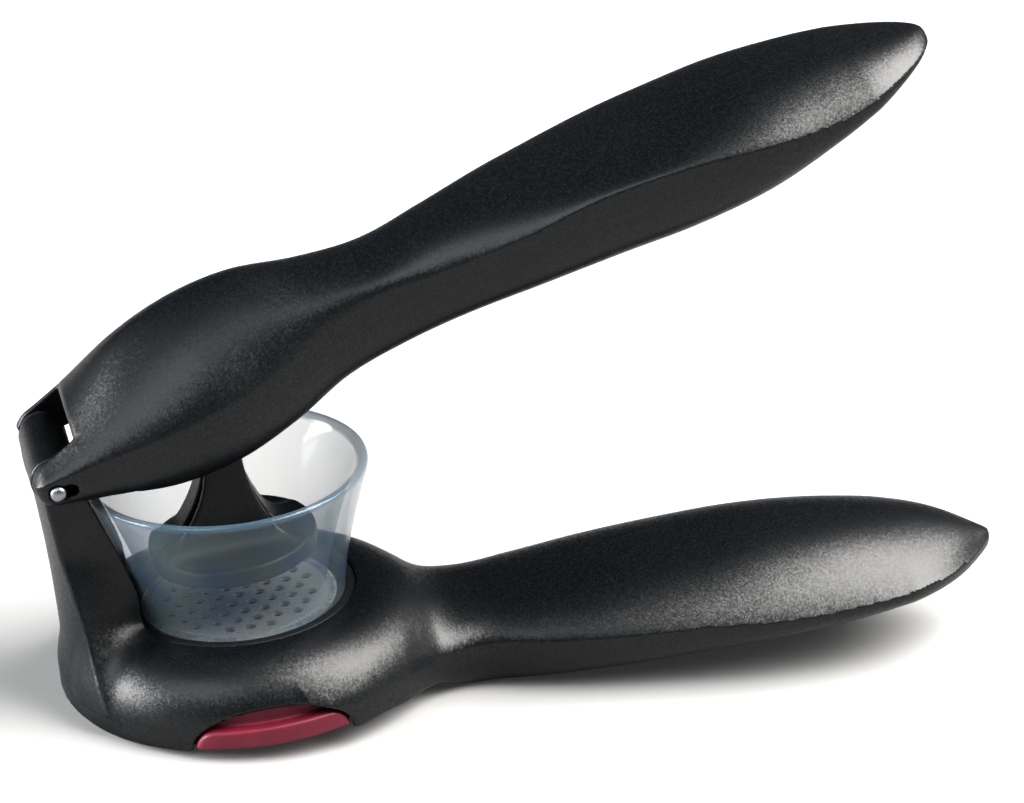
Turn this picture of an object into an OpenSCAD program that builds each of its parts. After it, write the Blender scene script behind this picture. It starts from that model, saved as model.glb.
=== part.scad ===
// Garlic press with a clear hopper: a fixed lower lever with a round base, a hinged upper lever,
// a piston that hangs from the upper lever, and a pull-out scraper under the sieve.
// X runs along the levers to their tips, Y lies along the hinge pin, Z is up.
// The origin is the centre of the base ring's bottom face, on the hopper's axis.

/* [Base ring] */
// Radius of the base ring at its foot
ring_r = 35; // [34:0.5:36]
// Height of the base ring's top edge
ring_h = 14.5; // [14:0.25:15]
// Width of the gap between the hopper's foot and the ring, which the seal fills
seal_w = 0.8; // [0.6:0.1:1.1]
// Width of the ring's flat top around the hopper
lip_w = 2.4; // [1.6:0.2:3.2]
// Height where the ring's upright side turns into the shoulder
shoulder_z = 3.5; // [3:0.25:5]
// Height of the face that the sieve and the hopper's foot bear on
seat_z = 13.2; // [13:0.1:13.4]
// Width of the land around the field of holes, over the opening under the sieve
chute_margin = 1.4; // [1:0.1:1.8]

/* [Front arch] */
// Half width of the arch in the ring's side that the scraper's tab fills
arch_half_w = 14.6; // [14:0.2:15.4]
// Height of the arch
arch_h = 7.2; // [7.2:0.1:8]

/* [Hinge] */
// Distance of the hinge pin behind the hopper's axis
pin_back = 32; // [31.6:0.1:32.4]
// Height of the hinge pin's axis
pin_z = 47.5; // [47:0.25:48]
// Diameter of the hinge pin
pin_d = 3.2; // [3:0.1:3.6]
// Half width of the hinge lug that the fork straddles
lug_half_w = 10.4; // [9.8:0.1:10.6]
// Radius of the rounded top of the lug
lug_r = 4.4; // [4:0.1:4.6]
// Thickness of each washer between the lug and the fork
washer_t = 1.4; // [1.2:0.05:1.6]
// Gap that lets a shaft turn in its hole, on the radius
running_gap = 0.05; // [0.03:0.01:0.08]

/* [Lower lever] */
// Distance from the hopper's axis to the lower lever's tip
lower_tip_x = 148.5; // [140:0.5:156]
// Angle that the press leans to the right as it stands, on its foot's left edge and the lever's belly
stand_tilt = 6; // [5.6:0.1:6.4]
// Height of the left end of the flat land that it stands on, over the foot's face
stand_rise = 0.25; // [0.15:0.05:0.35]
// Length of the lower lever's rounded nose
lower_nose = 22; // [18:1:26]
// Length of the upper lever's rounded nose
upper_nose = 16; // [14:1:20]

/* [Upper lever] */
// Angle that the upper lever stands at, above level
lever_rest = 18.1; // [17.5:0.1:18.5]
// Angle that the upper lever closes to, above level
lever_closed = 1.3; // [1.2:0.1:1.6]
// Length of the upper lever from the pin's axis to its tip
upper_len = 178.5; // [170:0.5:186]
// Distance from the pin's axis to the end of the fork's slot
slot_end = 6.3; // [6:0.1:6.8]
// Gap between each washer and the fork's inner face
fork_gap = 0.1; // [0.05:0.05:0.2]

/* [Piston] */
// Distance of the piston's pivot from the hinge pin, along the upper lever
pivot_u = 32; // [31.6:0.1:32.4]
// Height of the piston's pivot above the upper lever's own axis
pivot_v = 1; // [0.8:0.1:1.4]
// Diameter of the piston's pivot pin
pivot_d = 3.2; // [3:0.1:3.6]
// Radius of the piston's round head
piston_r = 15.8; // [15.4:0.1:15.9]
// Thickness of the piston's round head
piston_t = 3.6; // [3.2:0.1:4.2]
// Space left over the sieve when the upper lever is closed
piston_gap = 0.25; // [0.15:0.05:0.4]
// Share of the lever's swing that the piston turns back by
piston_turn = 0.8; // [0.78:0.01:0.82]
// Half width of the stem's flanges at the top
stem_half_w = 3.2; // [3:0.1:3.6]
// Distance from the piston's centre plane to the outer face of each flange
stem_half_d = 6.5; // [6:0.1:7]
// Thickness of each flange and of the web between them
stem_wall = 2.2; // [1.8:0.1:2.6]

/* [Hopper] */
// Height of the hopper's rim above the base
hopper_top = 40.8; // [40.4:0.1:41]
// Thickness of the hopper's wall at the rim
hopper_wall = 2.4; // [2.2:0.1:2.6]
// Room around the piston where the hopper is narrowest
piston_room = 0.7; // [0.5:0.1:0.9]
// Outside radius of the hopper's foot
foot_r = 20.2; // [20:0.1:20.4]
// Thickness of the hopper's snap legs
leg_t = 1.45; // [1.2:0.05:1.6]
// Half angle that each of the two snap legs covers
leg_half_angle = 30; // [24:1:33]

/* [Sieve] */
// Thickness of the sieve plate
sieve_t = 0.8; // [0.6:0.1:1]
// Gap between the sieve plate's edge and the snap legs
sieve_gap = 0.35; // [0.2:0.05:0.5]
// Diameter of each hole
hole_d = 2.1; // [1.6:0.1:2.4]
// Distance between neighbouring holes
hole_pitch = 3.8; // [3.4:0.1:4.2]
// Radius of the field of holes
field_r = 15.4; // [14:0.2:15.6]

/* [Scraper] */
// Height of the scraper's lip
lip_h = 4.7; // [4.2:0.1:5]
// Thickness of the scraper's two rails
rail_t = 2.8; // [2.4:0.1:3]
// Distance from the centre to the outer side of each rail
rail_half_w = 10.4; // [9.6:0.1:10.6]
// Half width of the wiper blade
blade_half_w = 13; // [12:0.2:13.2]
// Distance of the blade behind the hopper's axis when the scraper is home
blade_home_y = 18.6; // [18:0.1:19]

/* [Base plate] */
// Thickness of the base plate
plate_t = 1.6; // [1.4:0.1:1.8]
// Width of the ring's foot around the base plate
foot_w = 5.6; // [5.2:0.2:6]
// Radius of the opening in the base plate
plate_hole_r = 14.5; // [13:0.1:14.6]
// Distance of each screw from the base plate's edge
screw_edge = 3.6; // [3.2:0.1:4]
// Angle of each screw from the long axis
screw_angle = 33; // [31:1:35]

/* [Hidden] */
$fn = 64;

enamel = "#3b4046";
steel = "#c9ccd0";
clear_plastic = [0.75, 0.83, 0.85, 0.45];
red_plastic = "#a93a50";
black_rubber = "#1c1e20";
nylon = "#e8e6df";
eps = 0.01;
nose_power = 1.6;
far = 200;

// Upper lever: stations along it, and the half width, crest height, top and underside at each
upper_u = [-2.5, 8, 20, 32, 44, 56, 68, 80, 95, 110, 125, 140, 155, 168, upper_len];
upper_w = [16.2, 17.6, 19, 18.6, 15.6, 12.5, 11.5, 13.3, 17, 18.9, 20.9, 21.5, 19.1, 15.6, 13.5];
upper_edge = [2.8, 3, 2.2, 2, 2.4, 5, 5.9, 6, 7, 8.2, 7.5, 4.9, 2.3, 2.4, 2.2];
upper_top = [5.4, 10.2, 15.9, 18.3, 17.8, 13.4, 11.1, 12.1, 12.2, 11.2, 10.6, 12, 10.5, 7.8, 5.6];
upper_low = [-5.7, -7.2, -10.5, -11.4, -10.2, -7.5, -6.7, -6.1, -6, -6.6, -7.1, -6.1, -3.2, -0.4, 2];
// How flat its back is (p) and how steeply the back falls to the crest (q)
upper_p = [2.2, 2, 1.6, 1.6, 1.75, 2.2, 2.1, 2.6, 3.3, 3.5, 3.3, 3, 3.3, 3, 2.6];
upper_q = [0.5, 0.6, 0.65, 0.72, 0.6, 0.42, 0.42, 0.72, 0.82, 0.66, 0.6, 0.8, 0.92, 0.88, 0.8];

// Lower lever: stations along it, and the half width, edge height, crown and depth at each
lower_x = [10, 16, 22, 26, 30, 35, 44, 56, 70, 85, 100, 115, 130, 140, lower_tip_x];
lower_w = [33, 30.6, 27, 24.2, 20.6, 17.2, 15.6, 18.3, 21, 22.5, 23.2, 21.9, 19.3, 15.6, 9];
lower_edge = [4, 3.8, 3.5, 3.2, 2.8, 2.4, 2.4, 2.1, 2.1, 1.9, 0.8, 0.4, 0.9, 0.3, 0.1];
lower_top = [10, 12, 12.4, 12, 11.2, 9.4, 7.8, 7.8, 8.7, 9.6, 10.6, 10.2, 8.4, 6, 1.9];
lower_low = [0, -0.9, -3.4, -6, -7.9, -8.9, -9.7, -9.8, -9.2, -8.2, -7.3, -6.2, -5.1, -4.6, -4.2];
lower_p = [2, 2, 2, 2, 2, 2.3, 2.8, 3, 3.2, 3.2, 2.9, 2.6, 2.2, 2.3, 2];
lower_q = [0.6, 0.6, 0.6, 0.6, 0.65, 0.68, 0.66, 0.72, 0.86, 0.94, 0.95, 0.95, 1.1, 1.15, 1.1];
// How square its belly is
lower_belly = [4, 4, 4, 4, 3.6, 3, 2.7, 2.6, 2.6, 2.6, 2.5, 2.5, 2.5, 2.5, 2.5];

// Inner height of the piston and its pivot, from the closed position of the upper lever
pin_x = -pin_back;
sieve_top = seat_z;
sieve_bottom = seat_z - sieve_t;
closed_pivot_z = pin_z + pivot_u * sin(lever_closed) + pivot_v * cos(lever_closed);
piston_drop = closed_pivot_z - sieve_top - piston_gap;
rest_pivot_x = pin_x + pivot_u * cos(lever_rest) - pivot_v * sin(lever_rest);
rest_pivot_z = pin_z + pivot_u * sin(lever_rest) + pivot_v * cos(lever_rest);
piston_tilt = (1 - piston_turn) * (lever_rest - lever_closed);

fork_half_w = lug_half_w + washer_t + fork_gap;
tower_lean = pin_back + lug_r - 0.1 - (ring_r - 1.2);
hopper_room = 0.7;
stem_r = 5;
stem_top_half_w = 6.4;
pocket_half_w = stem_half_d + 1.3;
pocket_back = 15.5;
pin_half_len = 16.6;
pivot_pin_near = 12.4;
pivot_pin_far = 15.6;
dome_h = 0.9;
bush_wall = 1;
bush_r = pin_d / 2 + running_gap + bush_wall;
leg_foot_z = 6.5;
ring_bore_r = foot_r + seal_w;
shoulder_r = ring_bore_r + lip_w;
leg_r = foot_r - leg_t;
sieve_r = leg_r - sieve_gap;
chute_r = field_r + chute_margin;
hopper_bore_r = piston_r + piston_room;
plate_gap = 0.2;
plate_r = ring_r - foot_w - plate_gap;
screw_ring_r = plate_r - screw_edge;
slot_half_w = blade_half_w + 0.6;
tab_gap = 0.4;
tab_back_r = ring_r - 7.4;
tab_wall = 3.2;
blade_t = 1.6;
rail_w = 2.8;
rail_z = plate_t + 0.2;
bar_h = 6.4;
blade_z = rail_z + bar_h;
blade_h = sieve_bottom - 0.1 - blade_z;
screw_d = 2.6;
screw_head_d = 4.8;
screw_head_h = 1.3;
screw_len = 7.5;

// ---------- curves ----------

// Index of the station pair that x falls in
function span(xs, x, i = 0) = (i >= len(xs) - 2 || x < xs[i + 1]) ? i : span(xs, x, i + 1);
// Slope of the smooth curve at station i, zero where the stations turn back
function slope_at(xs, ys, i) =
    let(a = max(0, i - 1), b = min(len(xs) - 1, i + 1))
    (ys[b] - ys[a]) / (xs[b] - xs[a]);
// Smooth value between stations, a cubic with those slopes
function curve_at(xs, ys, x) =
    let(i = span(xs, x), h = xs[i + 1] - xs[i], t = min(1, max(0, (x - xs[i]) / h)),
        a = slope_at(xs, ys, i) * h, b = slope_at(xs, ys, i + 1) * h)
    ys[i] * (1 + 2 * t) * pow(1 - t, 2) + a * t * pow(1 - t, 2)
    + ys[i + 1] * (3 - 2 * t) * t * t - b * (1 - t) * t * t;
// Share of the half width left in the rounded nose of length len that ends at tip
function nose_at(x, tip, len) = sqrt(max(0.0006, 1 - pow(max(0, (x - tip + len) / len), nose_power)));

// Half section as [y, z] points: a back that falls to the crest line, and a rounded belly below it
function lever_section(w, edge, top, low, p, q, belly, n) =
    [for (i = [0 : n - 1]) let(a = 360 * i / n, t = cos(a), s = min(1, abs(t)))
        [w * t, sin(a) >= 0 ? edge + (top - edge) * pow(1 - pow(s, p), q)
            : edge - (edge - low) * pow(1 - pow(s, belly), 1 / belly)]];

// Section of the upper lever at u
function upper_section(u, n) =
    lever_section(curve_at(upper_u, upper_w, u) * nose_at(u, upper_len, upper_nose),
        curve_at(upper_u, upper_edge, u), curve_at(upper_u, upper_top, u), curve_at(upper_u, upper_low, u),
        curve_at(upper_u, upper_p, u), curve_at(upper_u, upper_q, u), 4, n);

// Section of the lower lever at x
function lower_section(x, n) =
    lever_section(curve_at(lower_x, lower_w, x) * nose_at(x, lower_tip_x, lower_nose),
        curve_at(lower_x, lower_edge, x), curve_at(lower_x, lower_top, x), curve_at(lower_x, lower_low, x),
        curve_at(lower_x, lower_p, x), curve_at(lower_x, lower_q, x), curve_at(lower_x, lower_belly, x), n);

// Stations from a to tip, spaced evenly and then closing up over the nose
function stations(a, tip, nose, n) =
    [for (i = [0 : n]) a + (tip - nose - a) * i / n,
     for (a = [15 : 15 : 90]) tip - nose + nose * sin(a)];

// Solid skin through a list of sections that all have n points
module skin(xs, sections, n) {
    m = len(xs);
    points = [for (k = [0 : m - 1]) for (q = sections[k]) [xs[k], q[0], q[1]]];
    sides = [for (k = [0 : m - 2]) for (i = [0 : n - 1])
        let(j = (i + 1) % n, a = k * n) each [[a + i, a + n + i, a + n + j], [a + i, a + n + j, a + j]]];
    start = [for (i = [0 : n - 1]) i];
    end = [for (i = [n - 1 : -1 : 0]) (m - 1) * n + i];
    polyhedron(points, concat(sides, [start], [end]), convexity = 6);
}

// ---------- frames and small shapes ----------

// Puts the upper lever's own frame, with its origin on the hinge pin, at the rest angle
module at_lever(angle = lever_rest) {
    translate([pin_x, 0, pin_z])
        rotate([0, -angle, 0])
            children();
}

// Puts the piston's own frame, with its origin on the pivot, at its rest place
module at_piston() {
    translate([rest_pivot_x, 0, rest_pivot_z])
        rotate([0, -piston_tilt, 0])
            children();
}

// Cylinder along Y, centred
module y_rod(r, half_len) {
    rotate([90, 0, 0])
        cylinder(r = r, h = 2 * half_len, center = true);
}

// Ring from r1 to r2 between two heights
module tube(r1, r2, z1, z2) {
    rotate_extrude($fn = 96)
        translate([r1, z1])
            square([r2 - r1, z2 - z1]);
}

// Part of such a ring, centred on an angle
module arc_tube(r1, r2, z1, z2, middle, half_angle) {
    rotate([0, 0, middle - half_angle])
        rotate_extrude(angle = 2 * half_angle, $fn = 96)
            translate([r1, z1])
                square([r2 - r1, z2 - z1]);
}

// Riveted pin along Y with a shallow dome on each end
module domed_pin(d, half_len) {
    rotate([90, 0, 0])
        rotate_extrude($fn = 48)
            polygon([[0, -half_len - dome_h], for (a = [75 : -15 : 0])
                    [d / 2 * cos(a), -half_len - dome_h * sin(a)],
                for (a = [0 : 15 : 75]) [d / 2 * cos(a), half_len + dome_h * sin(a)],
                [0, half_len + dome_h]]);
}

// Outer radius of the hopper at a height
function hopper_r(z) = foot_r + 6.8 * pow(max(0, (z - ring_h) / (hopper_top - ring_h)), 1.35);
// Inner radius of the hopper at a height
function hopper_in(z) = hopper_r(z) - hopper_wall
    - (foot_r - hopper_wall - hopper_bore_r) * max(0, (hopper_top - z) / (hopper_top - sieve_top));

// ---------- base and lower lever ----------

// Turned outline of the base ring, from the bore round the shoulder to the foot
module ring_solid() {
    rotate_extrude($fn = 96)
        polygon([[10, 0], [ring_r - 1, 0], [ring_r - 0.3, 0.3], [ring_r, 1],
            for (a = [0 : 10 : 90])
                [shoulder_r + (ring_r - shoulder_r) * pow(cos(a), 0.8),
                    shoulder_z + (ring_h - shoulder_z) * sin(a)],
            [10, ring_h]]);
}

// Tower behind the hopper: a turned wall cut to the lug's width, which flares down into the ring
module tower() {
    intersection() {
        rotate_extrude($fn = 128)
            polygon([[foot_r + 1, 2], [ring_r - 0.6, 2], for (i = [0 : 8]) let(t = i / 8)
                    [ring_r - 1.2 + tower_lean * pow(t, 2), 9 + (pin_z - 9) * t],
                [pin_back - 1.5, pin_z],
                for (i = [0 : 8]) let(z = hopper_top + hopper_room - (hopper_top - ring_h + 1) * i / 8)
                    [hopper_r(z) + hopper_room, z],
                [foot_r + 1, ring_h - 1]]);
        rotate([90, 0, -90])
            linear_extrude(60)
                polygon([for (s = [1, -1]) each [for (i = [0 : 7]) let(k = s > 0 ? i : 7 - i)
                    [s * [26, 20.5, 18.4, 16, 14, 12.6, lug_half_w, lug_half_w][k],
                        [2, 9, 12, 17, 27, 38.6, 39.2, 50][k]]]]);
    }
    at_lever(0)
        y_rod(lug_r, lug_half_w);
}

// Block along -Y with an arched top, as wide and high as given, cut off inside radius r
module arch(half_w, h, r) {
    difference() {
        rotate([90, 0, 0])
            linear_extrude(ring_r + 5)
                difference() {
                    translate([-half_w, -1])
                        square([2 * half_w, h + 1]);
                    difference() {
                        translate([-half_w - 1, 0])
                            square([2 * half_w + 2, h + 1]);
                        polygon([for (a = [0 : 10 : 180]) [half_w * cos(a), h * sin(a)], [-half_w, -1],
                            [half_w, -1]]);
                    }
                }
        translate([0, 0, -2])
            cylinder(r = r, h = h + 4, $fn = 96);
    }
}

// Two grooves for the hopper's snap legs, with the rib that each leg hooks under
module leg_grooves() {
    for (side = [0, 180]) {
        arc_tube(leg_r - 0.3, foot_r + 0.2, leg_foot_z - 0.5, seat_z + 1, side, leg_half_angle + 2);
        arc_tube(foot_r, foot_r + 1, leg_foot_z - 0.5, leg_foot_z + 2.2, side, leg_half_angle + 2);
    }
}

module body() {
    color(enamel)
    difference() {
        union() {
            ring_solid();
            tower();
            xs = stations(lower_x[0], lower_tip_x, lower_nose, 26);
            skin(xs, [for (x = xs) lower_section(x, 28)], 28);
        }
        translate([0, 0, seat_z])
            cylinder(r = ring_bore_r, h = far, $fn = 96);
        translate([0, 0, sieve_bottom])
            cylinder(r = sieve_r + 0.1, h = 5, $fn = 96);
        translate([0, 0, -far + seat_z])
            cylinder(r = chute_r, h = far, $fn = 96);
        translate([-slot_half_w, -blade_home_y - 0.6, plate_t])
            cube([2 * slot_half_w, 2 * blade_home_y + 0.6 + rail_w, sieve_bottom - plate_t]);
        translate([0, 0, -10])
            cylinder(r = plate_r + plate_gap, h = plate_t + 10, $fn = 96);
        leg_grooves();
        arch(arch_half_w, arch_h, tab_back_r - 0.3);
        // the foot's flat face, and the slope from it down to the lower lever's belly
        translate([0, 0, -20])
            cylinder(r1 = ring_r + 19.5, r2 = ring_r - 0.5, h = 20, $fn = 96);
        // the land that it stands on, ground across the foot's left edge and the belly
        translate([-ring_r, -far / 2, stand_rise])
            rotate([0, stand_tilt, 0])
                translate([-20, 0, -30])
                    cube([far, far, 30]);
        translate([-rail_half_w - 0.3, -ring_r - 2, plate_t])
            cube([2 * rail_half_w + 0.6, ring_r, rail_t + 0.4]);
        at_lever(0)
            y_rod(bush_r, far);
        for (i = [1 : 4])
            at_screw(i)
                cylinder(d = screw_d + 0.1, h = screw_len + 0.6, $fn = 32);
    }
}

// ---------- upper lever ----------

module upper_handle() {
    color(enamel)
    difference() {
        at_lever()
            difference() {
                us = stations(upper_u[0], upper_len, upper_nose, 30);
                skin(us, [for (u = us) upper_section(u, 32)], 32);
                translate([slot_end - far, -fork_half_w, -far / 2])
                    cube([far, 2 * fork_half_w, far]);
                y_rod(pin_d / 2 + running_gap, far);
                translate([pivot_u, 0, pivot_v]) {
                    translate([0, (far - pivot_pin_near - 0.2) / 2, 0])
                        y_rod(pivot_d / 2 + running_gap, (far + pivot_pin_near + 0.2) / 2);
                    y_rod(stem_r + 0.8, pocket_half_w);
                    translate([-pocket_back, -pocket_half_w, -far])
                        cube([pocket_back + stem_r + 0.8, 2 * pocket_half_w, far]);
                }
            }
        // room for the hopper's rim when the upper lever is closed
        at_lever()
            at_closed_lever()
                tube(hopper_in(hopper_top) - hopper_room, hopper_r(hopper_top) + hopper_room, ring_h,
                    hopper_top + hopper_room);
    }
}

// Puts world geometry where the closed upper lever sees it, in the lever's own frame
module at_closed_lever() {
    rotate([0, lever_closed, 0])
        translate([-pin_x, 0, -pin_z])
            children();
}

// ---------- hinge ----------

module hinge_pin() {
    color(steel)
    at_lever(0)
        domed_pin(pin_d, pin_half_len);
}

module hinge_bush() {
    color("#b98d4f")
    at_lever(0)
        rotate([90, 0, 0])
            difference() {
                cylinder(r = bush_r, h = 2 * lug_half_w, center = true);
                cylinder(r = pin_d / 2 + running_gap, h = far, center = true);
            }
}

// Thin washer on a pin along Y, between y and y + t
module washer(y, t, r, hole_r) {
    translate([0, y + t, 0])
        rotate([90, 0, 0])
            difference() {
                cylinder(r = r, h = t);
                translate([0, 0, -1])
                    cylinder(r = hole_r, h = t + 2);
            }
}

module hinge_washer_left() {
    color(nylon)
    at_lever(0)
        washer(lug_half_w, washer_t, lug_r - 0.4, pin_d / 2 + running_gap);
}

module hinge_washer_right() {
    color(nylon)
    at_lever(0)
        washer(-lug_half_w - washer_t, washer_t, lug_r - 0.4, pin_d / 2 + running_gap);
}

// ---------- piston ----------

// Half width of the stem's flanges at a distance below the pivot, flaring like a trumpet
function flare(d) = stem_half_w + 10.5 * pow(max(0, (d - 14) / (piston_drop - piston_t - 14)), 2);

module plunger() {
    flange_end = piston_drop - piston_t;
    flange_steps = [for (d = [14 : 2 : flange_end]) d, flange_end + 0.5];
    color(enamel)
    at_piston()
        difference() {
            union() {
                y_rod(stem_r, stem_top_half_w);
                for (side = [-1, 1])
                    translate([0, side * (stem_half_d - stem_wall / 2), 0])
                        rotate([90, 0, 0])
                            linear_extrude(stem_wall, center = true)
                                polygon([[-stem_half_w, 0], for (d = flange_steps) [-flare(d), -d],
                                    for (i = [len(flange_steps) - 1 : -1 : 0])
                                        [flare(flange_steps[i]), -flange_steps[i]],
                                    [stem_half_w, 0]]);
                translate([-stem_wall / 2, -stem_half_d + 1, -flange_end - 0.5])
                    cube([stem_wall, 2 * stem_half_d - 2, flange_end]);
                translate([0, 0, -piston_drop])
                    rotate_extrude($fn = 96)
                        polygon([[0, 0], [piston_r - 0.6, 0], [piston_r, 0.6],
                            [piston_r, piston_t - 0.8], [piston_r - 0.8, piston_t], [0, piston_t]]);
            }
            y_rod(pivot_d / 2 + running_gap, far);
        }
}

module plunger_pin() {
    color(steel)
    at_piston()
        translate([0, (pivot_pin_far - pivot_pin_near) / 2, 0])
            y_rod(pivot_d / 2, (pivot_pin_far + pivot_pin_near) / 2);
}

module plunger_washer_left() {
    color(nylon)
    at_piston()
        washer(stem_half_d + 0.05, 1.1, stem_r - 0.6, pivot_d / 2 + running_gap);
}

module plunger_washer_right() {
    color(nylon)
    at_piston()
        washer(-stem_half_d - 0.05 - 1.1, 1.1, stem_r - 0.6, pivot_d / 2 + running_gap);
}

// ---------- hopper and sieve ----------

module hopper_cup() {
    rim_r = hopper_wall / 2;
    rim_z = hopper_top - rim_r;
    rim_mid = hopper_r(rim_z) - rim_r;
    color(clear_plastic)
    union() {
        rotate_extrude($fn = 96)
            polygon([[hopper_bore_r, sieve_top], [foot_r, sieve_top],
                for (i = [0 : 9]) let(z = ring_h + (rim_z - ring_h) * i / 9) [hopper_r(z), z],
                for (a = [30 : 30 : 150]) [rim_mid + rim_r * cos(a), rim_z + rim_r * sin(a)],
                for (i = [9 : -1 : 1]) let(z = sieve_top + (rim_z - sieve_top) * i / 9)
                    [hopper_in(z), z]]);
        for (side = [0, 180]) {
            arc_tube(leg_r, foot_r - 0.1, leg_foot_z, sieve_top + 0.6, side, leg_half_angle);
            arc_tube(leg_r + 0.4, foot_r + 0.7, leg_foot_z, leg_foot_z + 1.4, side, leg_half_angle);
        }
    }
}

module cup_seal() {
    color(black_rubber)
    rotate_extrude($fn = 96)
        polygon([[foot_r + 0.02, seat_z + 0.02], [ring_bore_r - 0.02, seat_z + 0.02],
            [ring_bore_r - 0.02, ring_h - 0.5], [foot_r + 0.3, ring_h - 0.3], [foot_r + 0.02, ring_h - 0.5]]);
}

module sieve_plate() {
    rows = ceil(field_r / hole_pitch) + 1;
    color(steel)
    difference() {
        translate([0, 0, sieve_bottom])
            cylinder(r = sieve_r, h = sieve_t, $fn = 96);
        for (i = [-rows : rows])
            for (j = [-rows : rows])
                let(x = hole_pitch * (i + j / 2), y = hole_pitch * j * sin(60))
                    if (norm([x, y]) + hole_d / 2 <= field_r)
                        translate([x, y, sieve_bottom - 1])
                            cylinder(d = hole_d, h = sieve_t + 2, $fn = 24);
    }
}

// ---------- scraper ----------

module scraper_frame() {
    color(red_plastic)
    union() {
        // tab: a back wall that fills the arch, with the lip standing proud of it
        intersection() {
            arch(arch_half_w - tab_gap, arch_h - tab_gap, tab_back_r);
            union() {
                tube(1, tab_back_r + tab_wall, 0.2, far);
                tube(1, ring_r - 0.6, 0.2, lip_h);
            }
        }
        for (side = [-1, 1])
            translate([side * (rail_half_w - rail_w / 2) - rail_w / 2, -tab_back_r - 0.5, rail_z])
                cube([rail_w, tab_back_r + blade_home_y, rail_t]);
        translate([-blade_half_w, blade_home_y - rail_w / 2, rail_z])
            cube([2 * blade_half_w, rail_w, bar_h]);
    }
}

module wiper_blade() {
    color(black_rubber)
    translate([0, blade_home_y, blade_z])
        rotate([90, 0, 0])
            linear_extrude(blade_t, center = true)
                polygon([[-blade_half_w, 0], [blade_half_w, 0], [blade_half_w - 0.4, blade_h],
                    [0.4 - blade_half_w, blade_h]]);
}

// ---------- base plate ----------

// Places screw i of the four under the base plate
module at_screw(i) {
    angle = [screw_angle, 180 - screw_angle, 180 + screw_angle, -screw_angle][i - 1];
    translate([screw_ring_r * cos(angle), screw_ring_r * sin(angle), 0])
        children();
}

module base_plate() {
    color(steel)
    difference() {
        cylinder(r = plate_r, h = plate_t, $fn = 96);
        translate([0, 0, -1])
            cylinder(r = plate_hole_r, h = plate_t + 2, $fn = 96);
        arch(arch_half_w, arch_h, tab_back_r - 0.3);
        for (i = [1 : 4])
            at_screw(i) {
                translate([0, 0, -1])
                    cylinder(d = screw_d + 0.3, h = plate_t + 2, $fn = 32);
                translate([0, 0, -eps])
                    cylinder(d1 = screw_head_d + 0.2, d2 = screw_d + 0.3, h = screw_head_h, $fn = 32);
            }
    }
}

module base_screw(i) {
    color(steel)
    at_screw(i)
        difference() {
            union() {
                cylinder(d1 = screw_head_d, d2 = screw_d, h = screw_head_h, $fn = 32);
                cylinder(d = screw_d, h = screw_len, $fn = 32);
            }
            translate([0, 0, -eps])
                cylinder(d = 1.7, h = 0.8, $fn = 6);
        }
}

module base_screw_1() { base_screw(1); }
module base_screw_2() { base_screw(2); }
module base_screw_3() { base_screw(3); }
module base_screw_4() { base_screw(4); }

body();
upper_handle();
hinge_pin();
hinge_bush();
hinge_washer_left();
hinge_washer_right();
plunger();
plunger_pin();
plunger_washer_left();
plunger_washer_right();
hopper_cup();
cup_seal();
sieve_plate();
scraper_frame();
wiper_blade();
base_plate();
base_screw_1();
base_screw_2();
base_screw_3();
base_screw_4();
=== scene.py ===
"""Garlic press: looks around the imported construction, in metres, in the same frame."""
import math

import bpy
import numpy as np
from mathutils import Matrix, Vector


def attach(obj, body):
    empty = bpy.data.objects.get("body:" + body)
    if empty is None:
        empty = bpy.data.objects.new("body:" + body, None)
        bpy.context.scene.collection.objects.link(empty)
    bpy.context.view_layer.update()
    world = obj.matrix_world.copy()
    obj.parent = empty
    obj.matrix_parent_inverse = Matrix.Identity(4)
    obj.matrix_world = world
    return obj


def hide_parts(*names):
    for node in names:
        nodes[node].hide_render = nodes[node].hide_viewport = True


MM = 0.001
# The press stands on a land ground 6 degrees off its base plane, 0.25 mm up at the ring's left edge.
STAND_TILT, STAND_RISE = math.radians(6), 0.25
SENSOR_W, LENS = 36.0, 126.5625
CAMERA_AT = (-67.945, -599.043, 326.289)
CAMERA_AHEAD, CAMERA_RIGHT = (0.18226, 0.88950, -0.41901), (0.97151, -0.22856, -0.06262)
FLOOR_HALF = 3.0
RING_R = 35.0

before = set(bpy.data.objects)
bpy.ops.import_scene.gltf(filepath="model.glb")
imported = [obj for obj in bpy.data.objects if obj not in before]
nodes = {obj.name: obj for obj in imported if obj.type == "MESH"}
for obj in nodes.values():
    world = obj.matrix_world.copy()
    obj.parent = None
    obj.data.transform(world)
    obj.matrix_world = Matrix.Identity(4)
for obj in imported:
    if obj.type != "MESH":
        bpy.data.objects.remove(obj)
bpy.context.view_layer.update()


# ---------------------------------------------------------------- camera and stage
def make_camera():
    """Long lens a little above the press, looking across it from the front left."""
    forward = Vector(CAMERA_AHEAD).normalized()
    right = Vector(CAMERA_RIGHT)
    right = (right - forward * right.dot(forward)).normalized()
    up = right.cross(forward)
    data = bpy.data.cameras.new("camera")
    data.sensor_width = SENSOR_W
    data.sensor_fit = "HORIZONTAL"
    data.lens = LENS
    data.clip_start = 0.05
    data.clip_end = 20.0
    camera = bpy.data.objects.new("camera", data)
    turn = Matrix((right, up, -forward)).transposed().to_4x4()
    camera.matrix_world = Matrix.Translation(Vector(CAMERA_AT) * MM) @ turn
    bpy.context.scene.collection.objects.link(camera)
    bpy.context.scene.camera = camera


def add(tree, kind, inputs=None, **settings):
    """Adds a node with its settings; each input is a value or another node's output."""
    made = tree.nodes.new("ShaderNode" + kind)
    for key, value in settings.items():
        setattr(made, key, value)
    for key, value in (inputs or {}).items():
        if isinstance(value, bpy.types.NodeSocket):
            tree.links.new(value, made.inputs[key])
        else:
            made.inputs[key].default_value = value
    return made


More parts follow.
